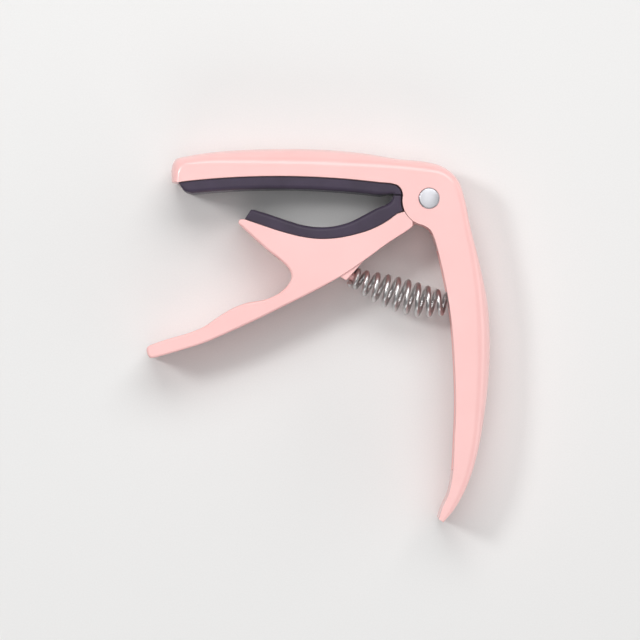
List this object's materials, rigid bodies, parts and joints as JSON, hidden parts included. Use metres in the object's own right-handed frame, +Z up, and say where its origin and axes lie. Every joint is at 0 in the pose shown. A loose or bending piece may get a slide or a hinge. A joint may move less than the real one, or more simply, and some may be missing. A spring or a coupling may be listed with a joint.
{
  "type": "guitar capo",
  "caption": "Spring clamp capo for a guitar neck: an L-shaped body with a straight string jaw and rear handle, and a curved cradle lever with a trigger.",
  "frame": {"origin": "under the middle of the outline, on the surface that the capo lies on", "axes": "the capo lies on its side: +Z is up through its thickness, +Y runs along the rear handle towards the string jaw, and -X is where the jaws and the trigger point"},
  "size_m": [0.0828, 0.09, 0.0154],
  "materials": {
    "paint": "satin gloss pale pink paint",
    "pad_silicone": "matte moulded silicone",
    "rivet_steel": "turned and nickel plated",
    "washer_nylon": "natural nylon",
    "spring_steel": "bright plated wire"
  },
  "bodies": {
    "body": {"jaw_and_handle_body": "paint", "string_pad": "pad_silicone", "pivot_rivet": "rivet_steel", "pivot_washer_lower": "washer_nylon", "pivot_washer_upper": "washer_nylon", "barrel_spring": "spring_steel"},
    "lever": {"trigger_lever": "paint", "neck_pad": "pad_silicone"}
  },
  "joints": [
    {"name": "lever_hinge", "type": "hinge", "parent": "body", "child": "lever", "pos_m": [0.02651, 0.03283, 0.0075], "axis": [0, 0, 1], "range_deg": [0, 26], "stiffness_Nm_per_rad": 0.6, "springref_deg": -34.38, "deforming": ["barrel_spring"]}
  ]
}
